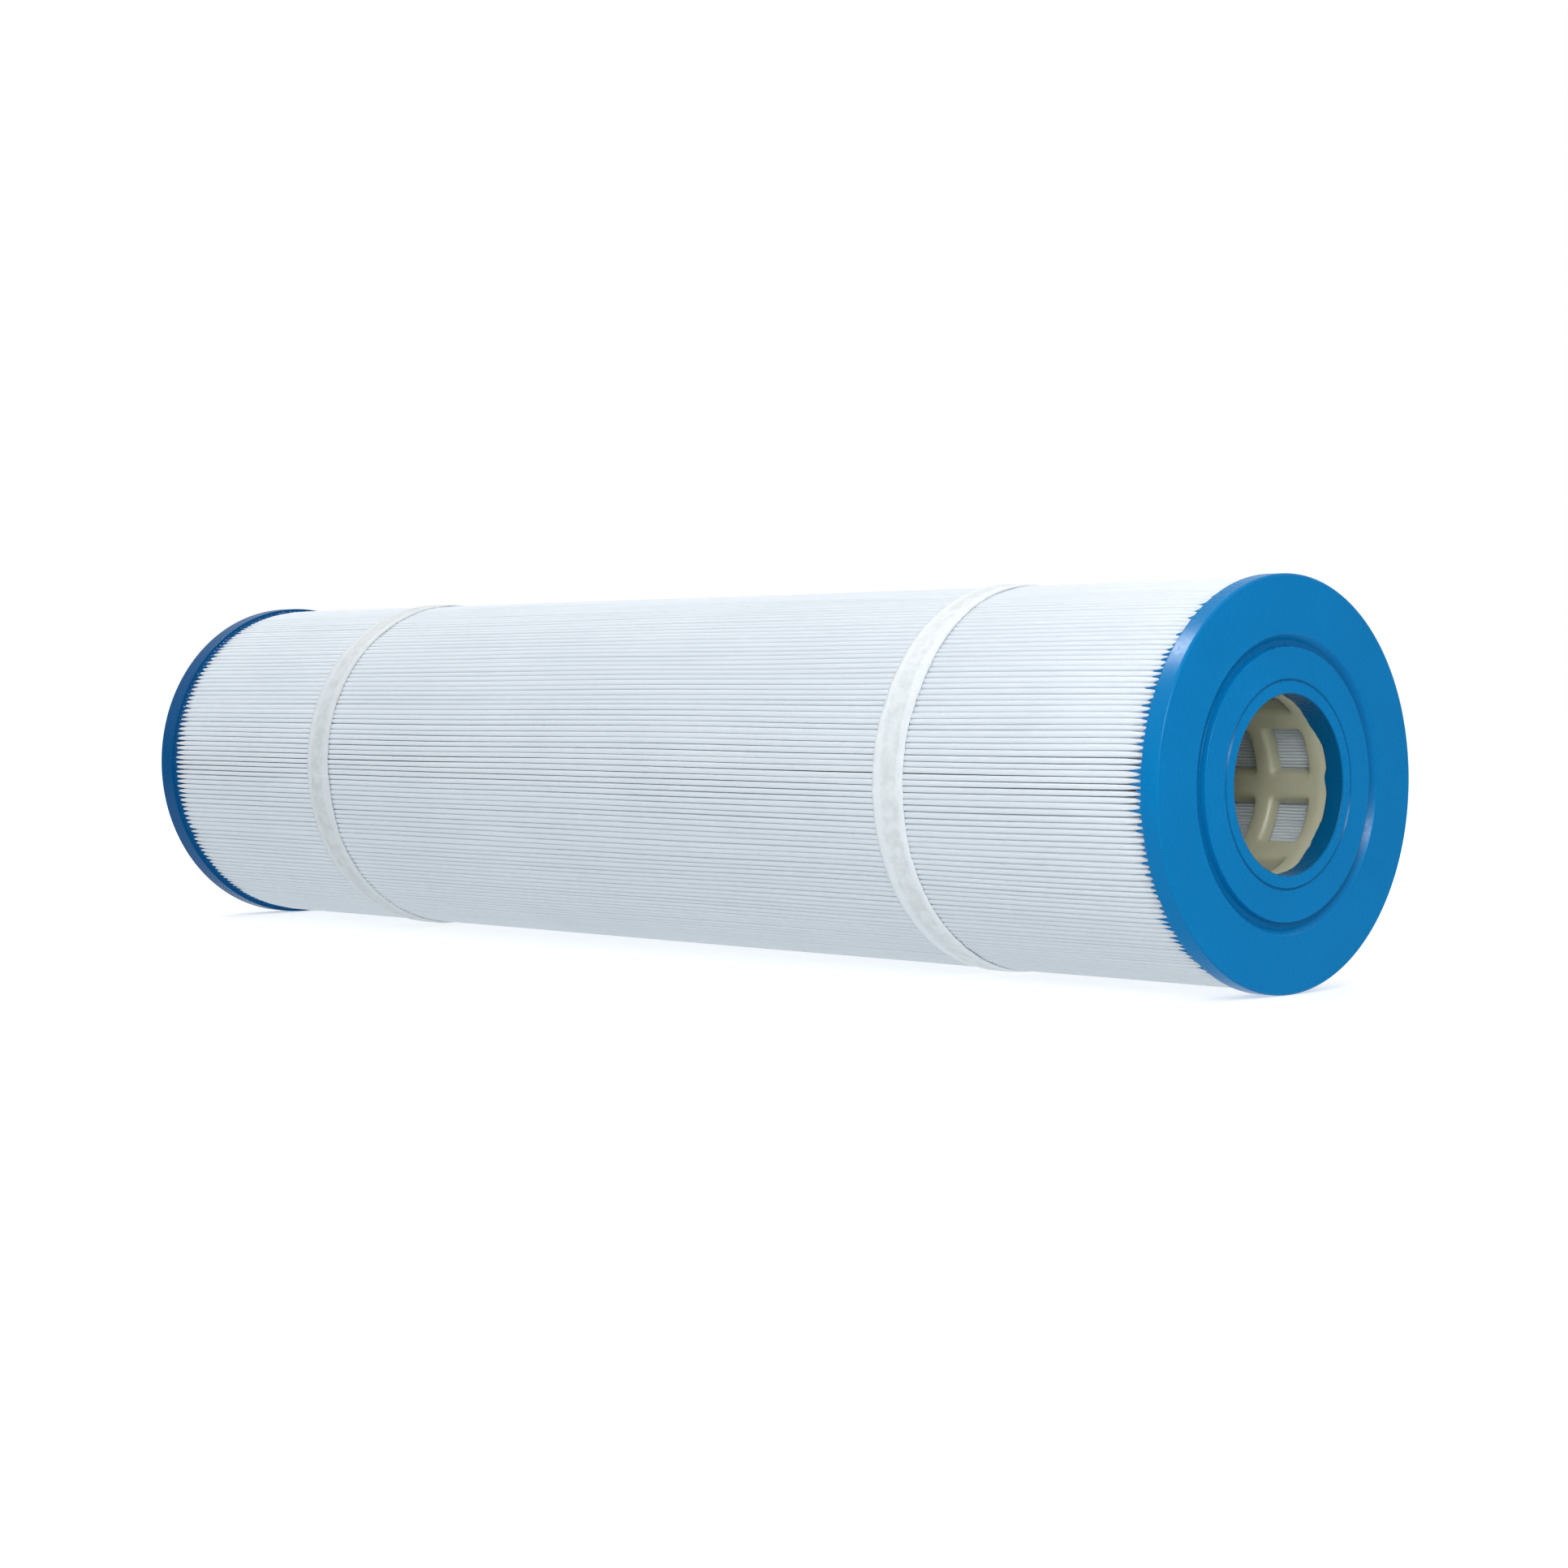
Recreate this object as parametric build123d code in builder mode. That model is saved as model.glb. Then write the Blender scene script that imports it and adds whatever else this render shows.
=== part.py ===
"""Pool and spa filter cartridge, lying on its side.

The cartridge lies along X on the plane Z = 0, with its origin under the middle of its length. A moulded
lattice core of four plugged segments runs down the middle. A folded sheet of filter media stands around
the core, and its ends are potted in two soft moulded end caps. Two strips, each on a ring of hot melt,
hold the pleats in place, and one line of hot melt closes the sheet on itself.

Lengths are in millimetres. "Depth" is a distance along the axis, inwards from the nearer end cap's face.
"""

import math
import os

from build123d import *

os.makedirs("parts", exist_ok=True)

# Driving dimensions of the whole cartridge
LENGTH = 508.0
CAP_RADIUS = 62.7
BORE_RADIUS = 27.0

# End caps: a height each, and the face's details
FRONT_CAP_HEIGHT = 6.4
REAR_CAP_HEIGHT = 7.9
RIM_FILLET = 0.6
BORE_FILLET = 0.4
GROOVE_INNER_RADIUS = 40.9
GROOVE_OUTER_RADIUS = 44.9
GROOVE_DEPTH = 2.0
GROOVE_FLOOR_START = 41.4
GROOVE_FLOOR_END = 42.9
WITNESS_RADIUS = 31.15
WITNESS_WIDTH = 0.9
WITNESS_DEPTH = 0.5
NECK_DEPTH = 7.0
NECK_GAP = 0.05

# Folded media
PLEAT_COUNT = 200
SHEET_THICKNESS = 0.36
PLEAT_TIP_RADIUS = 61.5
PLEAT_ROOT_RADIUS = 32.6
TIP_WIDTH = 1.6
ROOT_WIDTH = 0.78
POTTED_DEPTH = 3.0
POTTING_CLEARANCE = 0.1

# Core segments
CORE_RADIUS = 32.3
CORE_BORE_RADIUS = 27.5
SEGMENT_COUNT = 4
ROWS_PER_SEGMENT = 6
WINDOWS_PER_ROW = 8
WINDOW_LENGTH = 13.4
WINDOW_WIDTH = 14.2
WINDOW_CORNER = 1.2
FIRST_WINDOW_ANGLE = 20.0
FIRST_WINDOW_DEPTH = 13.3
END_RING_LENGTH = 7.6
SPIGOT_LENGTH = 6.0
SPIGOT_RADIUS = 29.4
SOCKET_CLEARANCE = 0.1

# Strips around the pleats, and the hot melt under them
FRONT_BAND_DEPTH = 106.0
REAR_BAND_DEPTH = 105.0
BAND_WIDTH = 12.7
BAND_THICKNESS = 0.35
BAND_OVERLAP_ANGLE = 20.0
FRONT_BAND_END_ANGLE = 143.0
REAR_BAND_END_ANGLE = 183.0
MELT_WIDTH = 11.4
MELT_THICKNESS = 0.3
CONTACT_GAP = 0.05

# Hot melt in the seam pleat, which is near the lowest pleat
SEAM_PLEAT = 144
SEAM_DEPTH = 9.0
SEAM_THICKNESS = 0.3
SEAM_TIP_GAP = 1.2

# Derived places
AXIS = Axis((0, 0, CAP_RADIUS), (1, 0, 0))
HALF_LENGTH = LENGTH / 2
JOINT_RING_LENGTH = 2 * END_RING_LENGTH - SPIGOT_LENGTH
ROW_COUNT = SEGMENT_COUNT * ROWS_PER_SEGMENT
ROW_RING_LENGTH = (
    LENGTH
    - 2 * FIRST_WINDOW_DEPTH
    - ROW_COUNT * WINDOW_LENGTH
    - (SEGMENT_COUNT - 1) * JOINT_RING_LENGTH
) / (SEGMENT_COUNT * (ROWS_PER_SEGMENT - 1))
ROW_PITCH = WINDOW_LENGTH + ROW_RING_LENGTH
SEGMENT_LENGTH = 2 * END_RING_LENGTH + ROWS_PER_SEGMENT * ROW_PITCH - ROW_RING_LENGTH
SEGMENT_PITCH = SEGMENT_LENGTH - SPIGOT_LENGTH
CORE_END_DEPTH = FIRST_WINDOW_DEPTH - END_RING_LENGTH


def cross_plane(x):
    """The plane across the cartridge at x, with its centre on the axis and its normal towards +X."""
    return Plane(origin=(x, 0, CAP_RADIUS), x_dir=(0, 1, 0), z_dir=(1, 0, 0))


def lengthwise_plane(end):
    """A half section, with local x the depth from the face at that end (+1 or -1) and local y the radius."""
    return Plane(origin=(end * HALF_LENGTH, 0, CAP_RADIUS), x_dir=(-end, 0, 0), z_dir=(0, end, 0))


def end_cap(end, height):
    """A soft moulded disc, with a trough for the pleats, a seat for the core and a thin neck inside it."""
    trough_inner = CORE_RADIUS + POTTING_CLEARANCE
    trough_outer = PLEAT_TIP_RADIUS + POTTING_CLEARANCE
    neck_radius = CORE_BORE_RADIUS - NECK_GAP
    with BuildPart() as cap:
        with BuildSketch(lengthwise_plane(end)):
            with BuildLine():
                Polyline(
                    (0, BORE_RADIUS),
                    (0, CAP_RADIUS),
                    (height, CAP_RADIUS),
                    (height, trough_outer),
                    (POTTED_DEPTH, trough_outer),
                    (POTTED_DEPTH, trough_inner),
                    (CORE_END_DEPTH, trough_inner),
                    (CORE_END_DEPTH, neck_radius),
                    (NECK_DEPTH, neck_radius),
                    (NECK_DEPTH, BORE_RADIUS),
                    close=True,
                )
            make_face()
        revolve(axis=AXIS)
        outward = Axis.X if end > 0 else -Axis.X
        for edge_place, fillet_radius in ((-1, RIM_FILLET), (0, BORE_FILLET)):
            face_edges = cap.edges().filter_by(GeomType.CIRCLE).group_by(outward)[-1]
            fillet(face_edges.sort_by(SortBy.RADIUS)[edge_place], fillet_radius)
        with BuildSketch(lengthwise_plane(end)):
            with BuildLine():
                Polyline(
                    (0, GROOVE_INNER_RADIUS),
                    (GROOVE_DEPTH, GROOVE_FLOOR_START),
                    (GROOVE_DEPTH, GROOVE_FLOOR_END),
                    (0, GROOVE_OUTER_RADIUS),
                    close=True,
                )
            make_face()
            with BuildLine():
                Polyline(
                    (0, WITNESS_RADIUS - WITNESS_WIDTH / 2),
                    (WITNESS_DEPTH, WITNESS_RADIUS),
                    (0, WITNESS_RADIUS + WITNESS_WIDTH / 2),
                    close=True,
                )
            make_face()
        revolve(axis=AXIS, mode=Mode.SUBTRACT)
    return cap.part


def pleat_outline(tip_radius, root_radius, tip_width, root_width):
    """The corners of a closed zigzag: a flat fold at each tip and at each root."""
    corners = []
    for pleat in range(PLEAT_COUNT):
        for turn, radius, width in ((pleat, tip_radius, tip_width), (pleat + 0.5, root_radius, root_width)):
            middle = 2 * math.pi * turn / PLEAT_COUNT
            half_angle = width / 2 / radius
            for angle in (middle - half_angle, middle + half_angle):
                corners.append((radius * math.cos(angle), radius * math.sin(angle)))
    return corners


def folded_media():
    """One sheet folded into pleats and closed on itself, from one end's potting to the other's."""
    with BuildPart() as media:
        with BuildSketch(cross_plane(POTTED_DEPTH - HALF_LENGTH)):
            with BuildLine():
                Polyline(
                    *pleat_outline(
                        PLEAT_TIP_RADIUS,
                        PLEAT_ROOT_RADIUS + SHEET_THICKNESS,
                        TIP_WIDTH,
                        ROOT_WIDTH - 2 * SHEET_THICKNESS,
                    ),
                    close=True,
                )
            make_face()
            with BuildLine():
                Polyline(
                    *pleat_outline(
                        PLEAT_TIP_RADIUS - SHEET_THICKNESS,
                        PLEAT_ROOT_RADIUS,
                        TIP_WIDTH - 2 * SHEET_THICKNESS,
                        ROOT_WIDTH,
                    ),
                    close=True,
                )
            make_face(mode=Mode.SUBTRACT)
        extrude(amount=LENGTH - 2 * POTTED_DEPTH)
    return media.part


def core_segment(index):
    """A lattice tube: a spigot at its +X end plugs into the next segment's socket."""
    start = CORE_END_DEPTH - HALF_LENGTH + index * SEGMENT_PITCH
    first_row = start + END_RING_LENGTH + WINDOW_LENGTH / 2
    is_last = index == SEGMENT_COUNT - 1
    with BuildPart() as segment:
        with BuildSketch(cross_plane(start)):
            Circle(CORE_RADIUS)
            Circle(CORE_BORE_RADIUS, mode=Mode.SUBTRACT)
        extrude(amount=SEGMENT_LENGTH)
        if index > 0:
            with BuildSketch(cross_plane(start)):
                Circle(SPIGOT_RADIUS + SOCKET_CLEARANCE)
            extrude(amount=SPIGOT_LENGTH, mode=Mode.SUBTRACT)
        if not is_last:
            with BuildSketch(cross_plane(start + SEGMENT_LENGTH - SPIGOT_LENGTH)):
                Circle(CORE_RADIUS)
                Circle(SPIGOT_RADIUS, mode=Mode.SUBTRACT)
            extrude(amount=SPIGOT_LENGTH, mode=Mode.SUBTRACT)
        for row in range(ROWS_PER_SEGMENT):
            for window in range(WINDOWS_PER_ROW):
                angle = math.radians(FIRST_WINDOW_ANGLE + 360 / WINDOWS_PER_ROW * window)
                outward = Vector(0, math.cos(angle), math.sin(angle))
                centre = Vector(first_row + row * ROW_PITCH, 0, CAP_RADIUS) + outward * CORE_BORE_RADIUS
                with BuildSketch(Plane(origin=centre, x_dir=(1, 0, 0), z_dir=outward)):
                    RectangleRounded(WINDOW_LENGTH, WINDOW_WIDTH, WINDOW_CORNER)
                extrude(amount=2 * (CORE_RADIUS - CORE_BORE_RADIUS), mode=Mode.SUBTRACT)
    return segment.part


def melt_ring(end, band_depth):
    """The ring of hot melt that lies on the pleat tips under a strip."""
    inner = PLEAT_TIP_RADIUS + CONTACT_GAP
    with BuildPart() as ring:
        with BuildSketch(cross_plane(end * (HALF_LENGTH - band_depth) - MELT_WIDTH / 2)):
            Circle(inner + MELT_THICKNESS)
            Circle(inner, mode=Mode.SUBTRACT)
        extrude(amount=MELT_WIDTH)
    return ring.part


def band(end, band_depth, end_angle):
    """A strip wound once around the pleats, with its tail stuck down over its start."""
    inner = PLEAT_TIP_RADIUS + 2 * CONTACT_GAP + MELT_THICKNESS
    outer = inner + BAND_THICKNESS
    with BuildPart() as strip:
        with BuildSketch(cross_plane(end * (HALF_LENGTH - band_depth) - BAND_WIDTH / 2)):
            Circle(outer)
            with BuildLine():
                tail = CenterArc((0, 0), outer + BAND_THICKNESS, end_angle, BAND_OVERLAP_ANGLE)
                start = CenterArc((0, 0), inner, end_angle, BAND_OVERLAP_ANGLE)
                Line(tail @ 0, start @ 0)
                Line(tail @ 1, start @ 1)
            make_face()
            Circle(inner, mode=Mode.SUBTRACT)
        extrude(amount=BAND_WIDTH)
    return strip.part


def seam_melt():
    """The line of hot melt between the two last panels of the sheet, inside the seam pleat."""
    angle = math.radians(360 * SEAM_PLEAT / PLEAT_COUNT)
    outward = Vector(0, math.cos(angle), math.sin(angle))
    across = Vector(1, 0, 0).cross(outward)
    middle_radius = PLEAT_TIP_RADIUS - SHEET_THICKNESS - SEAM_TIP_GAP - SEAM_DEPTH / 2
    centre = Vector(POTTED_DEPTH - HALF_LENGTH, 0, CAP_RADIUS) + outward * middle_radius
    with BuildPart() as melt:
        with BuildSketch(Plane(origin=centre, x_dir=across, z_dir=(1, 0, 0))):
            Rectangle(SEAM_THICKNESS, SEAM_DEPTH)
        extrude(amount=LENGTH - 2 * POTTED_DEPTH)
    return melt.part


def save(part, name):
    """Label a finished piece and write its file."""
    part.label = name
    export_step(part, f"parts/{name}.step")


save(end_cap(1, FRONT_CAP_HEIGHT), "front_end_cap")
save(end_cap(-1, REAR_CAP_HEIGHT), "rear_end_cap")
save(folded_media(), "pleated_media")
save(seam_melt(), "media_seam_melt")
for index in range(SEGMENT_COUNT):
    save(core_segment(index), f"core_segment_{index + 1}")
save(melt_ring(1, FRONT_BAND_DEPTH), "front_band_melt")
save(melt_ring(-1, REAR_BAND_DEPTH), "rear_band_melt")
save(band(1, FRONT_BAND_DEPTH, FRONT_BAND_END_ANGLE), "front_band")
save(band(-1, REAR_BAND_DEPTH, REAR_BAND_END_ANGLE), "rear_band")
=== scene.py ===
"""The looks of the pleated filter cartridge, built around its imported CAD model.

Every piece is a mesh made in code, in metres, in the CAD frame: the cartridge lies along X, its axis is
AXIS_Z above the floor, and an angle about the axis starts at +Y and grows towards +Z. "Depth" is a distance
along the axis, inwards from the outer face of the cap at that end.
"""

import itertools
import math

import bmesh
import bpy
import numpy as np
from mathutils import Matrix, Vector


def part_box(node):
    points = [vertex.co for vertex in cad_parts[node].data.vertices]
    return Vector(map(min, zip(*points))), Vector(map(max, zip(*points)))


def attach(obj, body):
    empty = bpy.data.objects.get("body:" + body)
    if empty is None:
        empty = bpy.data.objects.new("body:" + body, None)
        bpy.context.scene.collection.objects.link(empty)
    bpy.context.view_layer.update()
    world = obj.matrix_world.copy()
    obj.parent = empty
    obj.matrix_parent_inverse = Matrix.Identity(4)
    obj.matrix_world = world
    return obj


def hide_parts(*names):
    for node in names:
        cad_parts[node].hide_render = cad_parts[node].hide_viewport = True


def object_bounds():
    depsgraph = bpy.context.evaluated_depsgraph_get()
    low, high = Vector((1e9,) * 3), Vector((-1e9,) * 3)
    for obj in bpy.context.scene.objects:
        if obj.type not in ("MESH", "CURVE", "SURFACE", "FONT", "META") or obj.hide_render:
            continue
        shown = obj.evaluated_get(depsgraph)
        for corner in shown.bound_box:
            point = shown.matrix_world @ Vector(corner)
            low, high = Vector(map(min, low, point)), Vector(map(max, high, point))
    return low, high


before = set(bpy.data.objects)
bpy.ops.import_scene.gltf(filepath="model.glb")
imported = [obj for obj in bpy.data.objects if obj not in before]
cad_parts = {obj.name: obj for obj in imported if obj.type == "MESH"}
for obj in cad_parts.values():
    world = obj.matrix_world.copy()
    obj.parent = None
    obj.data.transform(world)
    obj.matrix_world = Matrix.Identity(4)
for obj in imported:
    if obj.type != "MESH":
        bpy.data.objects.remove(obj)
cad_low, cad_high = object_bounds()

MM = 0.001
MERGE_DISTANCE = 2e-6  # metres

# The seeds of the random draws
MEDIA_SEED = 7
CAP_SEED = {"front": 11, "rear": 9}
TOOTH_SEED = {"front": 40, "rear": 18}
STRIP_SEED = {"front": 22, "rear": 12}

# The whole cartridge, from the frame
HALF_LENGTH = (cad_high[0] - cad_low[0]) / 2
AXIS_Z = (cad_low[2] + cad_high[2]) / 2
CAP_RADIUS = (cad_high[2] - cad_low[2]) / 2
ENDS = {"front": 1, "rear": -1}  # which way each end faces along X
STRIP_MIDDLE = 148.5 * MM  # how far each strip is from the middle of the cartridge

# Sizes that the CAD model's boxes don't give
CORE_RADIUS = 32.3 * MM
CORE_BORE_RADIUS = 27.5 * MM
CAP_HEIGHT = {"front": 6.4 * MM, "rear": 7.9 * MM}
EDGE_X = {name: way * (HALF_LENGTH - CAP_HEIGHT[name]) for name, way in ENDS.items()}
PLEAT_COUNT = 200
PITCH = 2 * math.pi / PLEAT_COUNT
SHEET_THICKNESS = 0.36 * MM
TIP_RADIUS = 61.5 * MM
ROOT_RADIUS = 32.6 * MM


def extent_x(node):
    """The lowest and highest x of a CAD node."""
    low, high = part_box(node)
    return low.x, high.x


# ---------------------------------------------------------------------------------------------- helpers


def new_object(name, points, faces, material):
    """A smooth mesh object from points and faces, with one material."""
    mesh = bpy.data.meshes.new(name)
    mesh.from_pydata(np.asarray(points, float).reshape(-1, 3).tolist(), [], faces)
    shell = bmesh.new()
    shell.from_mesh(mesh)
    bmesh.ops.remove_doubles(shell, verts=shell.verts, dist=MERGE_DISTANCE)
    bmesh.ops.recalc_face_normals(shell, faces=shell.faces)
    shell.to_mesh(mesh)
    shell.free()
    mesh.shade_smooth()
    piece = bpy.data.objects.new(name, mesh)
    bpy.context.scene.collection.objects.link(piece)
    mesh.materials.append(material)
    return piece


def around(x, radius, angle):
    """Points at x, at a radius and an angle about the axis; the three may be arrays."""
    x, radius, angle = np.broadcast_arrays(x, radius, angle)
    return np.stack([x, radius * np.cos(angle), AXIS_Z + radius * np.sin(angle)], axis=-1)


def grid_faces(rows, columns, wrap_rows=False, wrap_columns=False, flip=False, first=0):
    """The quads of a grid of points that are stored row by row."""
    row = np.arange(rows if wrap_rows else rows - 1)[:, None]
    column = np.arange(columns if wrap_columns else columns - 1)[None, :]
    next_row, next_column = (row + 1) % rows, (column + 1) % columns
    corners = [
        row * columns + column,
        next_row * columns + column,
        next_row * columns + next_column,
        row * columns + next_column,
    ]
    if flip:
        corners.reverse()
    return (np.stack(np.broadcast_arrays(*corners), axis=-1).reshape(-1, 4) + first).tolist()


def smooth_noise(rng, rows, columns, row_scale, column_scale):
    """Noise of unit spread on a grid that wraps, with features about row_scale by column_scale cells."""
    wave = np.fft.fft2(rng.standard_normal((rows, columns)))
    row_wave = np.fft.fftfreq(rows)[:, None] * row_scale
    column_wave = np.fft.fftfreq(columns)[None, :] * column_scale
    noise = np.real(np.fft.ifft2(wave * np.exp(-2 * (row_wave**2 + column_wave**2))))
    return (noise - noise.mean()) / noise.std()


def rounded(corners, steps=5):
    """A closed outline from (x, y, fillet radius) corners, with each fillet as a short arc."""
    outline = []
    for index, (x, y, radius) in enumerate(corners):
        corner = np.array([x, y])
        before = np.array(corners[index - 1][:2]) - corner
        after = np.array(corners[(index + 1) % len(corners)][:2]) - corner
        if radius == 0:
            outline.append(corner)
            continue
        before /= np.linalg.norm(before)
        after /= np.linalg.norm(after)
        half = math.acos(np.clip(before @ after, -1, 1)) / 2
        centre = corner + (before + after) / np.linalg.norm(before + after) * radius / math.sin(half)
        start = corner + before * radius / math.tan(half) - centre
        end = corner + after * radius / math.tan(half) - centre
        for step in np.linspace(0, 1, steps):
            turned = start * (1 - step) + end * step
            outline.append(centre + turned / np.linalg.norm(turned) * radius)
    return np.array(outline)


LONG_STRAIGHT = 4  # a straight this many gaps long takes supports


def with_supports(outline, gap):
    """The closed outline with a point near each end of every long straight, which keeps flat faces flat."""
    points = []
    for index, start in enumerate(outline):
        end = outline[(index + 1) % len(outline)]
        length = np.linalg.norm(end - start)
        points.append(start)
        if length > LONG_STRAIGHT * gap:
            points.append(start + (end - start) * gap / length)
            points.append(end - (end - start) * gap / length)
    return np.array(points)


def adopt(piece, node):
    """Makes a piece stand for a CAD node."""
    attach(piece, "root")
    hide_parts(node)
    return piece


def dress_node(node, material):
    """Gives a CAD node that stays its material."""
    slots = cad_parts[node].data.materials
    slots.clear()
    slots.append(material)


# -------------------------------------------------------------------------------------------- materials

NOISE_LOW, NOISE_HIGH = 0.3, 0.7  # most of a noise texture's values lie between these


def new_material(name, roughness, **sockets):
    """A node material with its Principled shader's constant sockets set, and the tree and shader."""
    material = bpy.data.materials.new(name)
    material.use_nodes = True
    shader = material.node_tree.nodes["Principled BSDF"]
    shader.inputs["Roughness"].default_value = roughness
    for socket, value in sockets.items():
        shader.inputs[socket.replace("_", " ")].default_value = value
    return material, material.node_tree, shader


def add_noise(tree, scale, detail=4.0, roughness=0.55, stretch=(1, 1, 1)):
    """A noise texture in object coordinates, in features per metre."""
    place = tree.nodes.new("ShaderNodeTexCoord")
    mapping = tree.nodes.new("ShaderNodeMapping")
    noise = tree.nodes.new("ShaderNodeTexNoise")
    mapping.inputs["Scale"].default_value = stretch
    noise.inputs["Scale"].default_value = scale
    noise.inputs["Detail"].default_value = detail
    noise.inputs["Roughness"].default_value = roughness
    tree.links.new(place.outputs["Object"], mapping.inputs["Vector"])
    tree.links.new(mapping.outputs["Vector"], noise.inputs["Vector"])
    return noise.outputs["Fac"]


def add_ramp(tree, factor, stops):
    """A colour ramp of (position, colour) stops."""
    ramp = tree.nodes.new("ShaderNodeValToRGB")
    elements = ramp.color_ramp.elements
    for index, (position, colour) in enumerate(stops):
        element = elements[index] if index < 2 else elements.new(position)
        element.position = position
        element.color = (*colour, 1)
    tree.links.new(factor, ramp.inputs["Fac"])
    return ramp.outputs["Color"]


def add_mix(tree, factor, first, second):
    """The first colour where the factor is 0 and the second where it is 1."""
    mix = tree.nodes.new("ShaderNodeMix")
    mix.data_type = "RGBA"
    for link, socket in ((factor, 0), (first, 6), (second, 7)):
        tree.links.new(link, mix.inputs[socket])
    return mix.outputs[2]


FACE_SHADES = (0.96, 1.04)  # of the plastisol's own colour
# Painted shade: darker copies of the plastisol's colour where the bore wall, the witness ring and the groove
# lie in shade
PAINTED_SHADE_TONES = (0.44, 0.5)
PAINTED_SHADE_STOPS = (  # (radius in mm, share of the painted shade) across a cap: bore wall, witness ring, groove
    (27.0, 1.0),
    (27.45, 0.0),
    (30.6, 0.0),
    (30.85, 0.55),
    (31.45, 0.55),
    (31.7, 0.0),
    (41.0, 0.0),
    (41.5, 0.4),
    (43.0, 0.4),
    (44.7, 0.0),
)


def add_painted_shade_factor(tree):
    """The share of the painted shade at each distance from the axis."""
    place = tree.nodes.new("ShaderNodeTexCoord")
    mapping = tree.nodes.new("ShaderNodeMapping")
    length = tree.nodes.new("ShaderNodeVectorMath")
    mapping.inputs["Location"].default_value = (0, 0, -AXIS_Z / CAP_RADIUS)
    mapping.inputs["Scale"].default_value = (0, 1 / CAP_RADIUS, 1 / CAP_RADIUS)
    length.operation = "LENGTH"
    tree.links.new(place.outputs["Object"], mapping.inputs["Vector"])
    tree.links.new(mapping.outputs["Vector"], length.inputs[0])
    stops = [(radius * MM / CAP_RADIUS, (share, share, share)) for radius, share in PAINTED_SHADE_STOPS]
    return add_ramp(tree, length.outputs["Value"], stops)


def add_mottle(tree, noise, low, high):
    """A colour that wanders from low to high with a noise."""
    return add_ramp(tree, noise, [(NOISE_LOW, low), (NOISE_HIGH, high)])


def add_limits(tree, value, from_low, from_high, to_low, to_high):
    """The value mapped from one range to another, and held inside it."""
    mapped = tree.nodes.new("ShaderNodeMapRange")
    mapped.inputs["From Min"].default_value = from_low
    mapped.inputs["From Max"].default_value = from_high
    mapped.inputs["To Min"].default_value = to_low
    mapped.inputs["To Max"].default_value = to_high
    tree.links.new(value, mapped.inputs["Value"])
    return mapped.outputs["Result"]


def add_range(tree, noise, low, high):
    """A number that wanders from low to high with a noise."""
    return add_limits(tree, noise, NOISE_LOW, NOISE_HIGH, low, high)


def add_bumps(tree, shader, layers):
    """Bump from (height, distance, strength) layers, one after another."""
    normal = None
    for height, distance, strength in layers:
        bump = tree.nodes.new("ShaderNodeBump")
        bump.inputs["Distance"].default_value = distance
        bump.inputs["Strength"].default_value = strength
        tree.links.new(height, bump.inputs["Height"])
        if normal is not None:
            tree.links.new(normal, bump.inputs["Normal"])
        normal = bump.outputs["Normal"]
    tree.links.new(normal, shader.inputs["Normal"])


def plastisol_material(name, colour):
    """Satin blue moulded plastisol, faintly mottled, with painted shade darkening it in the bore, the ring
    and the groove.
    """
    material, tree, shader = new_material(name, 0.3, Specular_IOR_Level=0.06)
    broad = add_noise(tree, 35, detail=3)
    fine = add_noise(tree, 900, detail=3)
    blue = np.array(colour)
    face = add_mottle(tree, broad, *(blue * shade for shade in FACE_SHADES))
    # painted shade, mixed in where the bore, the ring and the groove lie in shade
    painted_shade = add_mottle(tree, broad, *(blue * shade for shade in PAINTED_SHADE_TONES))
    tree.links.new(add_mix(tree, add_painted_shade_factor(tree), face, painted_shade), shader.inputs["Base Color"])
    tree.links.new(add_range(tree, fine, 0.22, 0.34), shader.inputs["Roughness"])
    add_bumps(tree, shader, [(broad, 0.0008, 0.15), (fine, 0.00002, 0.15)])
    return material


def media_material():
    """White spun-bonded polyester: a dull mat of fine fibres."""
    material, tree, shader = new_material("spunbond", 0.85, Specular_IOR_Level=0.15, Subsurface_Weight=0.35)
    shader.inputs["Subsurface Radius"].default_value = (0.0012, 0.0012, 0.0012)
    shader.inputs["Subsurface Scale"].default_value = 1
    fibres = add_noise(tree, 1400, detail=5, roughness=0.7, stretch=(0.35, 1, 1))
    cloud = add_noise(tree, 28, detail=3)
    colour = add_mottle(tree, cloud, (0.79, 0.84, 0.9), (0.82, 0.87, 0.93))
    tree.links.new(colour, shader.inputs["Base Color"])
    tree.links.new(add_range(tree, fibres, 0.78, 0.95), shader.inputs["Roughness"])
    add_bumps(tree, shader, [(fibres, 0.0002, 0.35)])
    return material


def core_material():
    """Ivory moulded plastic, slightly translucent."""
    material, tree, shader = new_material("ivory", 0.42, Specular_IOR_Level=0.4, Subsurface_Weight=0.3)
    shader.inputs["Subsurface Radius"].default_value = (0.004, 0.003, 0.0015)
    shader.inputs["Subsurface Scale"].default_value = 1
    cloud = add_noise(tree, 60, detail=3)
    fine = add_noise(tree, 1200, detail=3)
    colour = add_mottle(tree, cloud, (0.54, 0.525, 0.37), (0.58, 0.565, 0.42))
    tree.links.new(colour, shader.inputs["Base Color"])
    tree.links.new(add_range(tree, fine, 0.36, 0.5), shader.inputs["Roughness"])
    add_bumps(tree, shader, [(fine, 0.00004, 0.3)])
    return material


STRIP_COLOURS = (0.9, 0.93, 0.96), (0.86, 0.9, 0.93)
SOAKED_COLOURS = (0.85, 0.885, 0.905), (0.76, 0.79, 0.8)
SOAKED_FROM, SOAKED_TO = 4.2 * MM, 5.6 * MM  # where the melt's stripe fades out, from the strip's middle
SOAKED_RAGGED = 3 * MM


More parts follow.
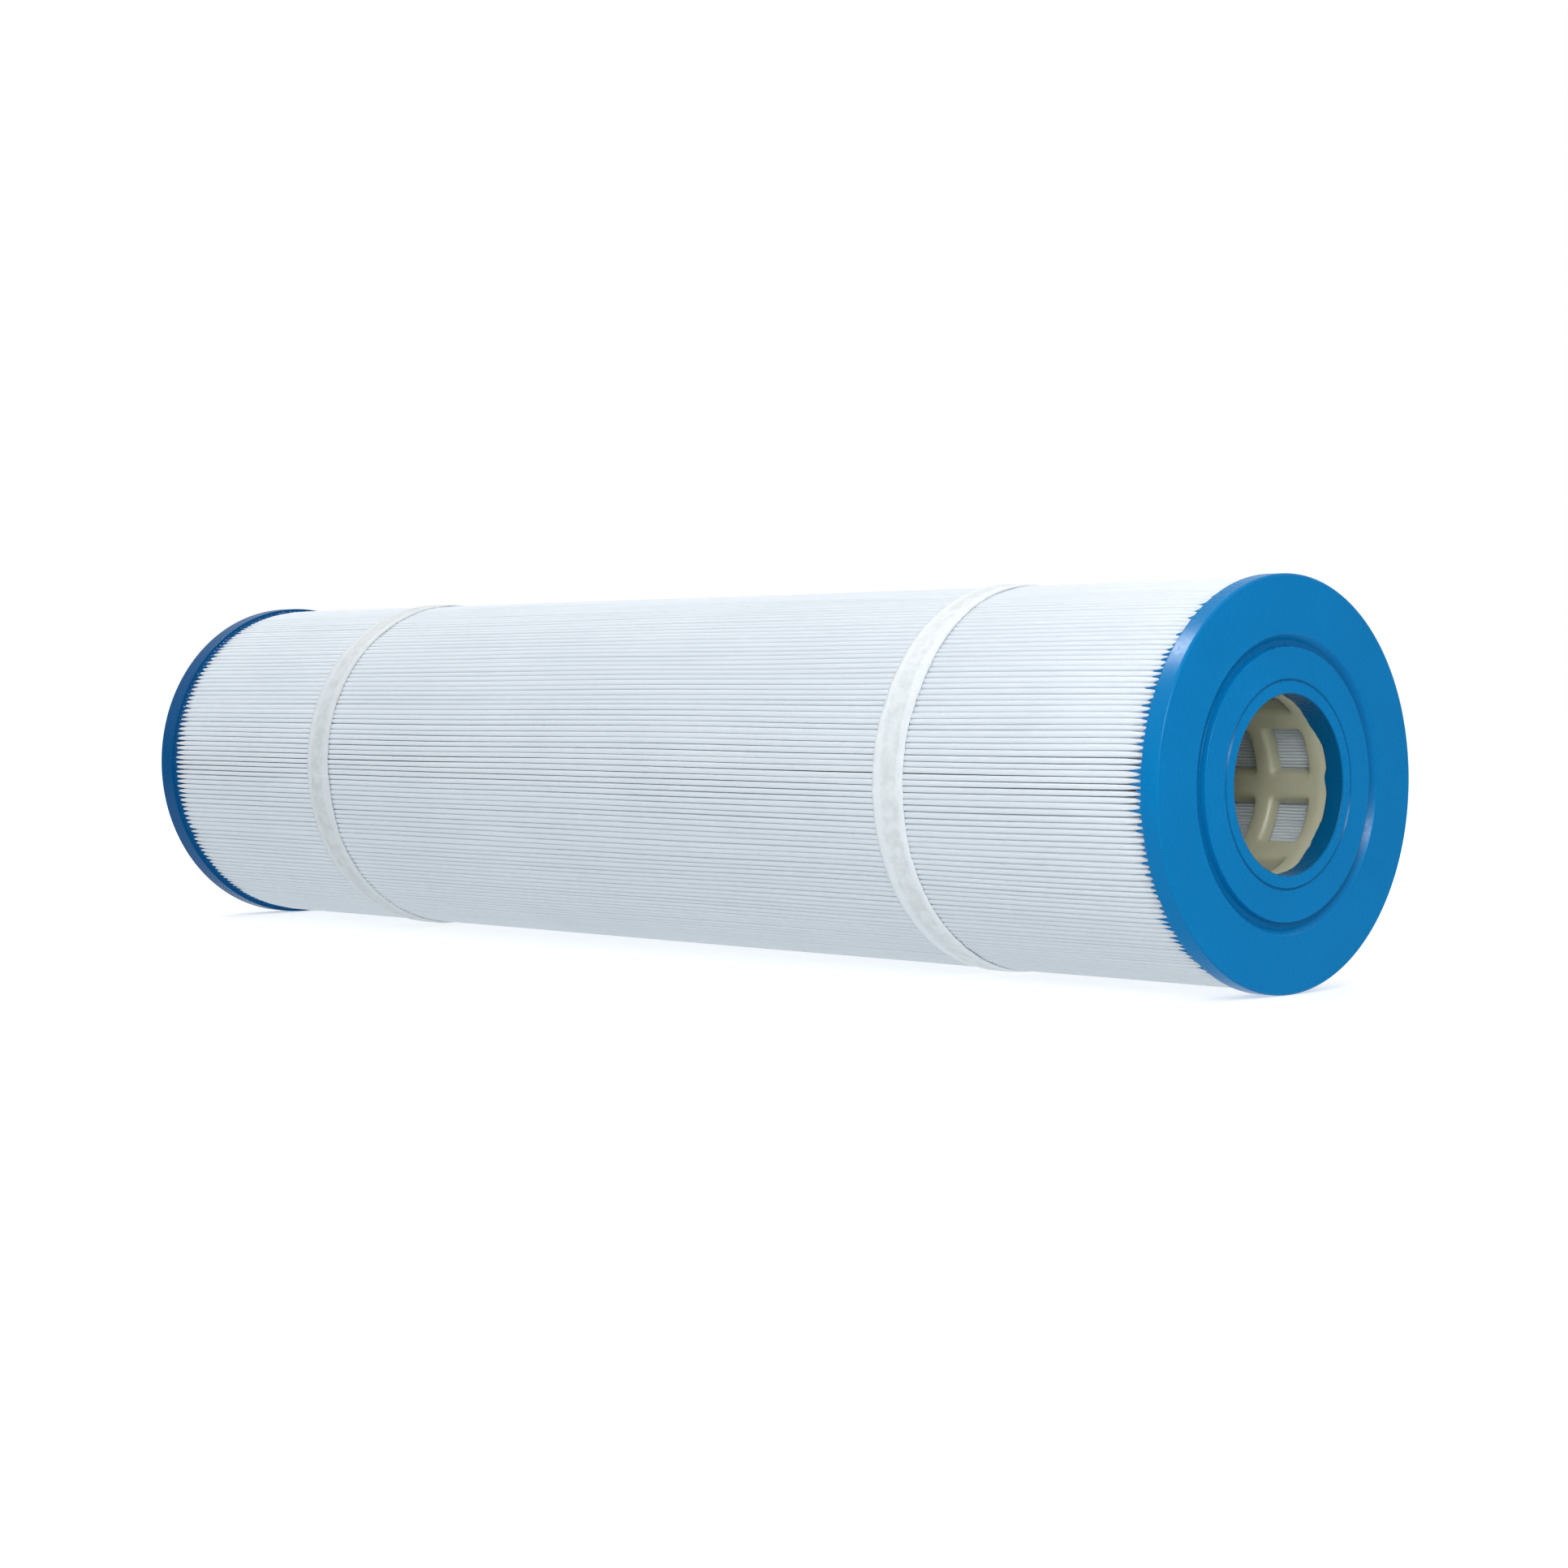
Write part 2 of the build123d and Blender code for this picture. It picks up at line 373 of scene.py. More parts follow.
def add_math(tree, operation, value, operand):
    """One step of arithmetic on a value, with a number or another value."""
    step = tree.nodes.new("ShaderNodeMath")
    step.operation = operation
    tree.links.new(value, step.inputs[0])
    if isinstance(operand, (int, float)):
        step.inputs[1].default_value = operand
    else:
        tree.links.new(operand, step.inputs[1])
    return step.outputs["Value"]


def add_stripe(tree):
    """1 along the middle of both strips, 0 along their edges, with a ragged border."""
    place = tree.nodes.new("ShaderNodeTexCoord")
    split = tree.nodes.new("ShaderNodeSeparateXYZ")
    tree.links.new(place.outputs["Object"], split.inputs["Vector"])
    value = split.outputs["X"]
    for operation, operand in (("ABSOLUTE", 0), ("SUBTRACT", STRIP_MIDDLE), ("ABSOLUTE", 0)):
        value = add_math(tree, operation, value, operand)
    ragged = add_math(tree, "MULTIPLY", add_noise(tree, 300, detail=3), SOAKED_RAGGED)
    return add_limits(tree, add_math(tree, "ADD", value, ragged), SOAKED_FROM, SOAKED_TO, 1, 0)


def band_material(name, shade):
    """Off-white strip, with hot melt soaked through it in a rough stripe along its middle; shade darkens all
    its colours, as painted shade.
    """
    material, tree, shader = new_material(name, 0.6, Specular_IOR_Level=0.3)
    patches = add_noise(tree, 260, detail=4)
    fibres = add_noise(tree, 1600, detail=5, roughness=0.7)
    light, dark = (shade * np.array(colour) for colour in STRIP_COLOURS)
    soaked_light, soaked_dark = (shade * np.array(colour) for colour in SOAKED_COLOURS)
    dry = add_ramp(tree, patches, [(0.35, light), (0.65, dark)])
    soaked = add_ramp(tree, patches, [(0.4, soaked_light), (0.62, soaked_dark)])
    tree.links.new(add_mix(tree, add_stripe(tree), dry, soaked), shader.inputs["Base Color"])
    tree.links.new(add_range(tree, patches, 0.85, 0.45), shader.inputs["Roughness"])
    add_bumps(tree, shader, [(patches, 0.0008, 0.5), (fibres, 0.0003, 0.5)])
    return material


def melt_material():
    """Set hot melt: milky and slightly glossy."""
    material, tree, shader = new_material("hot_melt", 0.3, Specular_IOR_Level=0.5, Subsurface_Weight=0.2)
    shader.inputs["Subsurface Radius"].default_value = (0.002, 0.002, 0.0015)
    shader.inputs["Subsurface Scale"].default_value = 1
    cloud = add_noise(tree, 150, detail=3)
    colour = add_mottle(tree, cloud, (0.74, 0.73, 0.66), (0.8, 0.79, 0.73))
    tree.links.new(colour, shader.inputs["Base Color"])
    tree.links.new(add_range(tree, cloud, 0.25, 0.4), shader.inputs["Roughness"])
    add_bumps(tree, shader, [(cloud, 0.0005, 0.3)])
    return material


PLASTISOL = {
    "front": plastisol_material("plastisol", (0.0015, 0.191, 0.475)),
    # The rear cap's plastisol is the same blue darkened: painted shade for the far end, which stands in less
    # light.
    "rear": plastisol_material("plastisol_rear_painted_shade", (0.001, 0.085, 0.25)),
}
MEDIA = media_material()
IVORY = core_material()
# The rear strip is the same tape darkened by 0.86: painted shade for the far end, which stands in less light.
STRIP = {"front": band_material("strip", 1.0), "rear": band_material("strip_rear_painted_shade", 0.86)}
MELT = melt_material()

# ------------------------------------------------------------------------------------------------ media

MEDIA_LOW, MEDIA_HIGH = extent_x("pleated_media")
NOISE_STATIONS = 256
TIP_STEPS = 6
TIP_CROWN = 0.42  # how far a tip's rounding goes down, in half widths
ROOT_STEPS = 4
ROOT_GAP = 0.05 * MM
FOLD_HALF_WIDTH = 0.36 * MM  # of the rounded fold at a pleat's root
PINCH_LENGTH = 9 * MM  # how far from a cap the pleats start to pinch together
PINCHED_WIDTH = 0.36  # of a tip's width, at the cap
PINCHED_DROP = 0.5 * MM
EDGE_STATIONS = np.array([-0.5, 1.3, 3.6, 7]) * MM  # from a cap's edge, outwards
MIDDLE_MARGIN = 12 * MM
MIDDLE_STATIONS = 23

# How the gaps between the tips wander: neighbours together, each alone, and each one's whole length
SHIFT_TOGETHER = 0.22 * MM
SHIFT_ALONE = 0.07 * MM
SHIFT_WHOLE = 0.09 * MM
GAP_WIDTH = 0.26 * MM
GAP_WIDTH_SPREAD = 0.07 * MM
GAP_WIDTH_LIMITS = 0.08 * MM, 0.45 * MM
HEIGHT_ALONE = 0.06 * MM
HEIGHT_TOGETHER = 0.07 * MM

SEAM_PLEAT = 144
SEAM_HALF_THICKNESS = 0.12 * MM
SEAM_LOW, SEAM_HIGH = 50 * MM, 59 * MM


def media_stations():
    """The x of each cross section, closer together by the caps."""
    rear, front = EDGE_X["rear"], EDGE_X["front"]
    middle = np.linspace(rear + MIDDLE_MARGIN, front - MIDDLE_MARGIN, MIDDLE_STATIONS)
    low_end = [MEDIA_LOW, *(rear + EDGE_STATIONS)]
    high_end = [*(front - EDGE_STATIONS[::-1]), MEDIA_HIGH]
    return np.concatenate([low_end, middle, high_end])


class PleatShape:
    """How the pleats stand: the gaps between their tips, and the height of each tip, along the cartridge."""

    def __init__(self):
        rng = np.random.default_rng(MEDIA_SEED)
        self.grid_x = np.linspace(MEDIA_LOW, MEDIA_HIGH, NOISE_STATIONS)
        shape = (PLEAT_COUNT, NOISE_STATIONS)
        together = SHIFT_TOGETHER * smooth_noise(rng, *shape, row_scale=9, column_scale=60)
        alone = SHIFT_ALONE * smooth_noise(rng, *shape, row_scale=1.2, column_scale=60)
        whole = SHIFT_WHOLE * rng.standard_normal(PLEAT_COUNT)[:, None]
        self.gap_shift = together + alone + whole
        width = GAP_WIDTH + GAP_WIDTH_SPREAD * smooth_noise(rng, *shape, row_scale=1, column_scale=50)
        self.gap_width = np.clip(width, *GAP_WIDTH_LIMITS)
        alone = HEIGHT_ALONE * smooth_noise(rng, *shape, row_scale=1.2, column_scale=50)
        self.height = alone + HEIGHT_TOGETHER * smooth_noise(rng, *shape, row_scale=12, column_scale=60)

    def at(self, values, x):
        """One of the arrays above at each x, as pleats by stations."""
        return np.array([np.interp(x, self.grid_x, row) for row in values])

    def gap_middle(self, x):
        """The angle of the middle of the gap after each pleat."""
        middle = (np.arange(PLEAT_COUNT) + 0.5)[:, None] * PITCH
        return middle + self.at(self.gap_shift, x) / TIP_RADIUS

    def tip(self, x):
        """The middle angle and the half width of each pleat's tip."""
        after = self.gap_middle(x)
        before = np.roll(after, 1, axis=0)
        before[0] -= 2 * math.pi
        gap = self.at(self.gap_width, x)
        low = before + np.roll(gap, 1, axis=0) / 2 / TIP_RADIUS
        high = after - gap / 2 / TIP_RADIUS
        return (low + high) / 2, (high - low) / 2 * TIP_RADIUS


PLEATS = PleatShape()


def end_ease(x):
    """1 along the cartridge, falling to 0 where a pleat enters a cap."""
    inside = np.minimum(x - EDGE_X["rear"], EDGE_X["front"] - x)
    return np.sin(np.clip(inside / PINCH_LENGTH, 0, 1) * math.pi / 2)


def pleat_sections(x):
    """The sheet's outer and inner skins: arrays of stations, pleats, points and (radius, angle)."""
    ease = end_ease(x)[None, :]
    centre, half = PLEATS.tip(x)
    half = half * (PINCHED_WIDTH + (1 - PINCHED_WIDTH) * ease)
    tip = TIP_RADIUS + PLEATS.at(PLEATS.height, x) * ease - PINCHED_DROP * (1 - ease)
    root_angle = (np.arange(PLEAT_COUNT) * PITCH)[:, None] + 0 * centre
    root_pitch = ROOT_RADIUS * PITCH
    outer, inner = [], []
    for turn in np.linspace(math.pi, 0, TIP_STEPS):
        radius = tip - TIP_CROWN * half * (1 - math.sin(turn))
        outer.append((radius, centre + half * math.cos(turn) / radius))
    valley = ROOT_RADIUS + SHEET_THICKNESS
    for side, shift in ((1, 0), (-1, PITCH)):
        outer.append((0 * tip + valley, root_angle + shift + side * (root_pitch / 2 - ROOT_GAP) / valley))
    inner_radius = tip - TIP_CROWN * half - SHEET_THICKNESS
    for side in (-1, 1):
        inner.append((inner_radius, centre + side * (half - SHEET_THICKNESS) / inner_radius))
    for turn in np.linspace(math.pi, 0, ROOT_STEPS):
        radius = ROOT_RADIUS + FOLD_HALF_WIDTH * (1 - math.sin(turn)) + 0 * tip
        inner.append((radius, root_angle + PITCH / 2 + FOLD_HALF_WIDTH * math.cos(turn) / radius))
    return stacked(outer), stacked(inner)


def stacked(points):
    """A list of (radius, angle) pairs of arrays, as one array of stations, pleats, points and pairs."""
    return np.transpose(np.array(points), (3, 2, 0, 1))


def end_faces(outer_first, inner_first, n_outer, n_inner):
    """The faces that join the two skins at a potted end, pleat by pleat."""
    tip_end, valley = TIP_STEPS - 1, TIP_STEPS
    rings = []
    for pleat in range(PLEAT_COUNT):
        outer = [outer_first + pleat * n_outer + k for k in range(n_outer)]
        inner = [inner_first + pleat * n_inner + k for k in range(n_inner)]
        following = (pleat + 1) % PLEAT_COUNT
        outer_next = outer_first + following * n_outer
        inner_next = inner_first + following * n_inner
        rings += [
            outer[: tip_end + 1] + [inner[1], inner[0]],
            [outer[tip_end], outer[valley], inner[2], inner[1]],
            [outer[valley], outer[valley + 1], *reversed(inner[2:])],
            [outer[valley + 1], outer_next, inner_next, inner[-1]],
        ]
    return rings


def developed_width(section):
    """How long a closed section of (radius, angle) points is once it is unfolded."""
    line = np.concatenate([section, section[:1]])
    points = around(0, line[:, 0], line[:, 1])
    return float(np.linalg.norm(np.diff(points, axis=0), axis=1).sum())


def build_media():
    """The folded sheet, with its two skins joined at the potted ends."""
    x = media_stations()
    outer, inner = pleat_sections(x)
    n_outer, n_inner = outer.shape[2], inner.shape[2]
    points, faces = [], []
    for skin, flip in ((outer, True), (inner, False)):
        first = sum(len(part) for part in points)
        points.append(around(x[:, None, None], skin[..., 0], skin[..., 1]).reshape(-1, 3))
        count = skin.shape[1] * skin.shape[2]
        faces += grid_faces(len(x), count, wrap_columns=True, flip=flip, first=first)
    for station, flip in ((0, False), (len(x) - 1, True)):
        outer_first = station * PLEAT_COUNT * n_outer
        inner_first = len(points[0]) + station * PLEAT_COUNT * n_inner
        rings = end_faces(outer_first, inner_first, n_outer, n_inner)
        faces += [ring[::-1] if flip else ring for ring in rings]
    media = new_object("pleated_sheet", np.concatenate(points), faces, MEDIA)
    adopt(media, "pleated_media")
    developed = developed_width(outer[len(x) // 2].reshape(-1, 2))
    return media


def build_seam():
    """The line of hot melt inside the seam pleat, which wanders with that pleat."""
    x = media_stations()
    outward = SEAM_PLEAT * PITCH
    lean = PLEATS.tip(x)[0][SEAM_PLEAT] - outward
    columns = []
    for radius, side in ((SEAM_LOW, -1), (SEAM_LOW, 1), (SEAM_HIGH, 1), (SEAM_HIGH, -1)):
        share = (radius - ROOT_RADIUS) / (TIP_RADIUS - ROOT_RADIUS)
        angle = outward + lean * share + side * SEAM_HALF_THICKNESS / radius
        columns.append(around(x, radius, angle))
    first_of_last = 4 * (len(x) - 1)
    faces = grid_faces(len(x), 4, wrap_columns=True) + [[0, 1, 2, 3], [first_of_last + k for k in range(4)]]
    seam = new_object("seam_line", np.stack(columns, axis=1), faces, MELT)
    return adopt(seam, "media_seam_melt")


# ----------------------------------------------------------------------------------------------- camera

CAMERA_AZIMUTH = math.radians(45.46)
CAMERA_ELEVATION = math.radians(1.62)
CAMERA_DISTANCE = 1.046
CAMERA_TARGET = Vector((0.0399, 0, AXIS_Z - 0.0041))
CAMERA_LENS = 69.1
SENSOR_WIDTH = 36


def build_camera():
    """A camera at the reference view: almost level, 45 degrees round from the side."""
    level = math.cos(CAMERA_ELEVATION)
    across, along = math.sin(CAMERA_AZIMUTH) * level, -math.cos(CAMERA_AZIMUTH) * level
    back = Vector((across, along, math.sin(CAMERA_ELEVATION)))
    camera = bpy.data.objects.new("camera", bpy.data.cameras.new("camera"))
    camera.location = CAMERA_TARGET + back * CAMERA_DISTANCE
    camera.rotation_euler = (-back).to_track_quat("-Z", "Y").to_euler()
    camera.data.lens = CAMERA_LENS
    camera.data.sensor_width = SENSOR_WIDTH
    bpy.context.scene.collection.objects.link(camera)
    bpy.context.scene.camera = camera


# ------------------------------------------------------------------------------------------------- caps

CAP_SEGMENTS = 600
SUPPORT_GAP = 0.25  # millimetres

# The section of a cap, in millimetres
BORE_RADIUS = 27.0
BORE_FILLET = 0.45
RING_RADII = 30.7, 31.15, 31.6
RING_DEPTH = 0.5
GROOVE_RADII = 40.9, 44.9
GROOVE_FLOOR_RADII = 41.4, 42.9
GROOVE_DEPTH = 2.0
RIM_RADIUS = 62.7
RIM_INNER_RADIUS = 61.7
TROUGH_RADIUS = 61.6
TROUGH_DEPTH = 3.0
SEAT_RADIUS = 32.4
SEAT_DEPTH = 5.65
NECK_RADIUS = 27.46
NECK_TIP_RADII = 27.44, 27.3
NECK_DEPTH = 7.0
NECK_FOOT_DEPTH = 5.6
NECK_LEAST_DEPTH = 5.9 * MM  # the points of the neck that are deeper than this get the ragged edge
RAGGED_SLOW = 0.85 * MM
RAGGED_FAST = 0.12 * MM
RAGGED_LIMITS = -0.9 * MM, 2.6 * MM

# The teeth of plastisol between the pleats
TOOTH_SAMPLES = 8
TOOTH_STEPS = 6
TOOTH_LENGTH = {"front": 3.1 * MM, "rear": 3.0 * MM}
TOOTH_TOP = {"front": 62.45 * MM, "rear": 62.3 * MM}
TOOTH_FALL = 1.35 * MM
TOOTH_FALL_POWER = 0.7
TOOTH_BOTTOM = 57.5 * MM
TOOTH_ROOT = 0.4 * MM
TOOTH_HALF_BASE = 0.8  # half a tooth's base, in half pitches
LENGTH_IN_GAP = 1, 0.4  # mean and spread of a tooth's length in a gap and on a tip, over TOOTH_LENGTH
LENGTH_IN_GAP_LIMITS = 0.35, 2.1
LENGTH_ON_TIP = 0.3, 0.13
LENGTH_ON_TIP_LIMITS = 0.08, 0.65


def cap_outline(height):
    """The section of a cap, round its face, rim, trough, core seat and neck, from (depth, radius, fillet)."""
    corners = [
        (0, BORE_RADIUS, BORE_FILLET),
        (0, RING_RADII[0], 0.15),
        (RING_DEPTH, RING_RADII[1], 0.1),
        (0, RING_RADII[2], 0.15),
        (0, GROOVE_RADII[0], 0.25),
        (GROOVE_DEPTH, GROOVE_FLOOR_RADII[0], 0.3),
        (GROOVE_DEPTH, GROOVE_FLOOR_RADII[1], 0.6),
        (0, GROOVE_RADII[1], 0.4),
        (0, RIM_RADIUS, 0.7),
        (height / MM, RIM_RADIUS, 0.35),
        (height / MM, RIM_INNER_RADIUS, 0.2),
        (TROUGH_DEPTH, TROUGH_RADIUS, 0),
        (TROUGH_DEPTH, SEAT_RADIUS, 0),
        (SEAT_DEPTH, SEAT_RADIUS, 0),
        (SEAT_DEPTH, NECK_RADIUS, 0),
        (NECK_DEPTH, NECK_TIP_RADII[0], 0),
        (NECK_DEPTH, NECK_TIP_RADII[1], 0),
        (NECK_FOOT_DEPTH, BORE_RADIUS, 0.4),
    ]
    return with_supports(rounded(corners), SUPPORT_GAP) * MM


def build_cap(name):
    """One end cap, turned about the axis, with a ragged edge where it ran up inside the core."""
    outline = cap_outline(CAP_HEIGHT[name])
    angle = np.linspace(0, 2 * math.pi, CAP_SEGMENTS, endpoint=False)[:, None]
    rng = np.random.default_rng(CAP_SEED[name])
    ragged = RAGGED_SLOW * smooth_noise(rng, CAP_SEGMENTS, 1, row_scale=40, column_scale=1)
    ragged = ragged + RAGGED_FAST * smooth_noise(rng, CAP_SEGMENTS, 1, row_scale=9, column_scale=1)
    depth, radius = outline[:, 0][None, :], outline[:, 1][None, :]
    is_lip = (depth > NECK_LEAST_DEPTH) & (radius < CORE_BORE_RADIUS)
    depth = depth + is_lip * np.clip(ragged, *RAGGED_LIMITS)
    points = around(ENDS[name] * (HALF_LENGTH - depth), radius, angle)
    faces = grid_faces(CAP_SEGMENTS, outline.shape[0], wrap_rows=True, wrap_columns=True)
    cap = new_object(f"{name}_cap", points, faces, PLASTISOL[name])
    return adopt(cap, f"{name}_end_cap")


def tooth_angles(name, across):
    """The angle of each sample round the cap, so that every gap between pleats has its own tooth."""
    gap_angle = PLEATS.gap_middle(np.array([EDGE_X[name]]))[:, 0]
    gap_angle = np.append(gap_angle, gap_angle[0] + 2 * math.pi)
    place = np.arange(len(across)) / TOOTH_SAMPLES - 0.5
    angle = np.interp(place, np.arange(PLEAT_COUNT + 1), gap_angle)
    before_first = TOOTH_SAMPLES // 2
    angle[:before_first] = gap_angle[0] + across[:before_first] / 2 * PITCH
    return angle


def tooth_lengths(name, gap, across):
    """How far the plastisol rose at each sample: long in the gaps, short on the tips."""
    rng = np.random.default_rng(TOOTH_SEED[name])
    in_gap = np.clip(rng.normal(*LENGTH_IN_GAP, PLEAT_COUNT), *LENGTH_IN_GAP_LIMITS)[gap]
    on_tip = np.clip(rng.normal(*LENGTH_ON_TIP, PLEAT_COUNT + 1), *LENGTH_ON_TIP_LIMITS)
    on_tip = np.where(across < 0, on_tip[gap], on_tip[gap + 1])
    share_in_gap = np.clip(1 - np.abs(across) / TOOTH_HALF_BASE, 0, 1)
    return TOOTH_LENGTH[name] * (on_tip + (in_gap - on_tip) * share_in_gap)


def build_wicking(name):
    """Plastisol that rose between the pleats past the cap's edge: a ragged tooth in every gap."""
    sample = np.arange(PLEAT_COUNT * TOOTH_SAMPLES)
    across = (sample % TOOTH_SAMPLES) / TOOTH_SAMPLES * 2 - 1
    angle = tooth_angles(name, across)
    length = tooth_lengths(name, sample // TOOTH_SAMPLES, across)
    share = np.linspace(0, 1, TOOTH_STEPS)
    top = TOOTH_TOP[name] - TOOTH_FALL * share**TOOTH_FALL_POWER
    bottom = np.full(TOOTH_STEPS, TOOTH_BOTTOM)
    rows = []
    for step, radius in [*zip(share, top), *zip(share[::-1], bottom)]:
        depth = CAP_HEIGHT[name] - TOOTH_ROOT + (length * step + TOOTH_ROOT * min(4 * step, 1))
        rows.append(around(ENDS[name] * (HALF_LENGTH - depth), radius, angle))
    faces = grid_faces(len(sample), len(rows), wrap_rows=True, wrap_columns=True)
    teeth = new_object(f"{name}_cap_wicking", np.stack(rows, axis=1), faces, PLASTISOL[name])
    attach(teeth, "root")
    return teeth


# ------------------------------------------------------------------------------------------------- core

SEGMENT_COUNT = 4
ROWS_PER_SEGMENT = 6
WINDOWS_PER_ROW = 8
FIRST_WINDOW_ANGLE = math.radians(20)
WINDOW_PITCH = 2 * math.pi / WINDOWS_PER_ROW
QUARTERS = (1, 1), (-1, 1), (-1, -1), (1, -1)  # the signs of a window's four corners, in order

# The lattice, in millimetres
CORE_BORE, CORE_OUTER = CORE_BORE_RADIUS / MM, CORE_RADIUS / MM
WINDOW_HALF_LENGTH = 6.7
WINDOW_HALF_WIDTH = 7.1
WINDOW_CORNER = 1.2
INNER_ROUND = 1.5
OUTER_ROUND = 0.4
END_RING = 7.6
SPIGOT_LENGTH = 6.0
SPIGOT_RADIUS = 29.4
SOCKET_RADIUS = 29.5
END_CHAMFER = 0.3
SOCKET_CHAMFER = 0.2

# How many points the lattice is made of
EDGE_PARTS = 4
CORNER_STEPS = 5
INNER_ROUND_STEPS = 5
OUTER_ROUND_STEPS = 3


def window_loop(grow, radius):
    """A window's rounded outline, grown by so much, at a radius: (x, angle) pairs round the window."""
    corner = WINDOW_CORNER + grow
    centre_x, centre_y = WINDOW_HALF_LENGTH + grow - corner, WINDOW_HALF_WIDTH + grow - corner
    pairs = []
    for quarter, (sign_x, sign_y) in enumerate(QUARTERS):
        for step in range(CORNER_STEPS):
            turn = math.pi / 2 * (quarter + step / (CORNER_STEPS - 1))
            x, y = sign_x * centre_x + corner * math.cos(turn), sign_y * centre_y + corner * math.sin(turn)
            pairs.append((x, y))
        next_x, next_y = QUARTERS[(quarter + 1) % 4]
        end_x, end_y = (next_x * centre_x, y) if quarter % 2 == 0 else (x, next_y * centre_y)
        for part in range(1, EDGE_PARTS):
            share = part / EDGE_PARTS
            pairs.append((x + (end_x - x) * share, y + (end_y - y) * share))
    pairs = np.array(pairs)
    return pairs[:, 0], np.arcsin(pairs[:, 1] / radius)


def cell_loop(half_length):
    """The border of the lattice cell round a window, one point for each point of window_loop."""
    x_loop, angle_loop = window_loop(0, CORE_BORE)
    half_angle = math.pi / WINDOWS_PER_ROW
    corner_x = WINDOW_HALF_LENGTH - WINDOW_CORNER
    corner_angle = math.asin((WINDOW_HALF_WIDTH - WINDOW_CORNER) / CORE_BORE)
    past_x, past_angle = half_length - corner_x, half_angle - corner_angle
    border = []
    for index, (x, angle) in enumerate(zip(x_loop, angle_loop)):
        quarter, step = divmod(index, CORNER_STEPS + EDGE_PARTS - 1)
        sign_x, sign_angle = QUARTERS[quarter]
        share = step / (CORNER_STEPS - 1) * 2
        first, second = min(share, 1), max(share - 1, 0)
        if step >= CORNER_STEPS:
            at = (x, sign_angle * half_angle) if quarter % 2 == 0 else (sign_x * half_length, angle)
        elif quarter % 2 == 0:
            at = (sign_x * (half_length - past_x * second), sign_angle * (corner_angle + past_angle * first))
        else:
            at = (sign_x * (corner_x + past_x * first), sign_angle * (half_angle - past_angle * second))
        border.append(at)
    return np.array(border).T


def window_rings(half_length):
    """The rings of points from the bore side of a cell, through the window, to its outer side."""
    rings = [(*cell_loop(half_length), CORE_BORE)]
    for turn in np.linspace(0, math.pi / 2, INNER_ROUND_STEPS):
        radius = CORE_BORE + INNER_ROUND * (1 - math.cos(turn))
        rings.append((*window_loop(INNER_ROUND * (1 - math.sin(turn)), radius), radius))
    for turn in np.linspace(math.pi / 2, 0, OUTER_ROUND_STEPS):
        radius = CORE_OUTER - OUTER_ROUND * (1 - math.cos(turn))
        rings.append((*window_loop(OUTER_ROUND * (1 - math.sin(turn)), radius), radius))
    rings.append((*cell_loop(half_length), CORE_OUTER))
    return rings


def outer_edge(end_x, inwards, row_x):
    """The chamfered outer edge of a segment's end, and the way to its windows: (x, radius) points."""
    chamfer = [(end_x, CORE_OUTER - END_CHAMFER), (end_x + inwards * END_CHAMFER, CORE_OUTER)]
    return chamfer + [(row_x, CORE_OUTER)]


def socket_path(index, low_x, row_low):
    """The section of a segment's low end, from the bore to the outside: (x, radius) points."""
    if index == 0:
        path = [(row_low, CORE_BORE), (low_x + END_CHAMFER, CORE_BORE), (low_x, CORE_BORE + END_CHAMFER)]
    else:
        path = [
            (low_x + SPIGOT_LENGTH, CORE_BORE),
            (low_x + SPIGOT_LENGTH, SOCKET_RADIUS),
            (low_x + SOCKET_CHAMFER, SOCKET_RADIUS),
            (low_x, SOCKET_RADIUS + SOCKET_CHAMFER),
        ]
    return path + outer_edge(low_x, 1, row_low)


def spigot_path(index, high_x, row_high):
    """The section of a segment's high end, from the bore to the outside: (x, radius) points."""
    path = [(row_high, CORE_BORE), (high_x - END_CHAMFER, CORE_BORE), (high_x, CORE_BORE + END_CHAMFER)]
    shoulder = high_x
    if index < SEGMENT_COUNT - 1:
        shoulder = high_x - SPIGOT_LENGTH
        path += [
            (high_x, SPIGOT_RADIUS - END_CHAMFER),
            (high_x - END_CHAMFER, SPIGOT_RADIUS),
            (shoulder, SPIGOT_RADIUS),
        ]
    return path + outer_edge(shoulder, -1, row_high)


